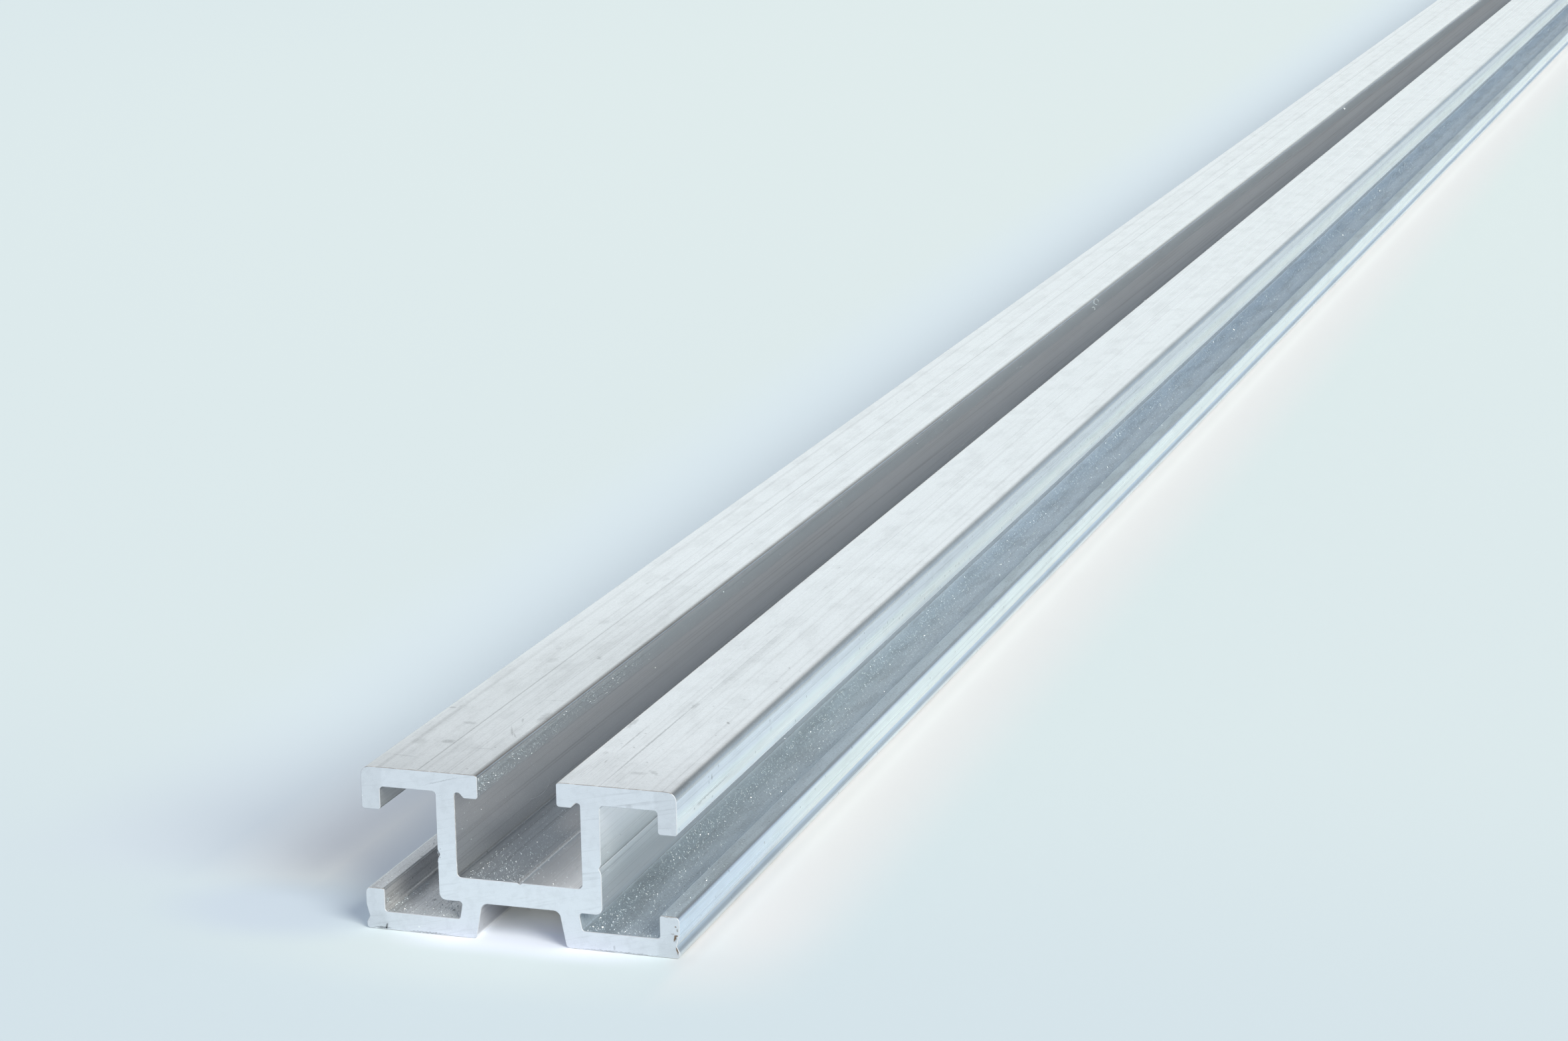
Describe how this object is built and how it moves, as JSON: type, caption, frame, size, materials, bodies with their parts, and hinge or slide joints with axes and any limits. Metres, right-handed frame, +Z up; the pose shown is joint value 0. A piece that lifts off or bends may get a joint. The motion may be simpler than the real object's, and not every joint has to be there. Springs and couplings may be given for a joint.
{
  "type": "aluminium batten profile",
  "caption": "Straight extruded aluminium batten with a bolt channel along the top, an open channel along each side and a flanged foot.",
  "frame": {"origin": "middle of the underside, half way along the length, on the plane that both feet rest on", "axes": "+Y along the length, away from the sawn end that the picture shows; +X across the width; +Z up through the bolt slot"},
  "size_m": [0.04, 2, 0.0205],
  "materials": {
    "mill_aluminium": "plain mill-finish extruded aluminium with lengthwise die lines, sawn ends"
  },
  "bodies": {
    "root": {"batten_profile": "mill_aluminium"}
  },
  "joints": []
}
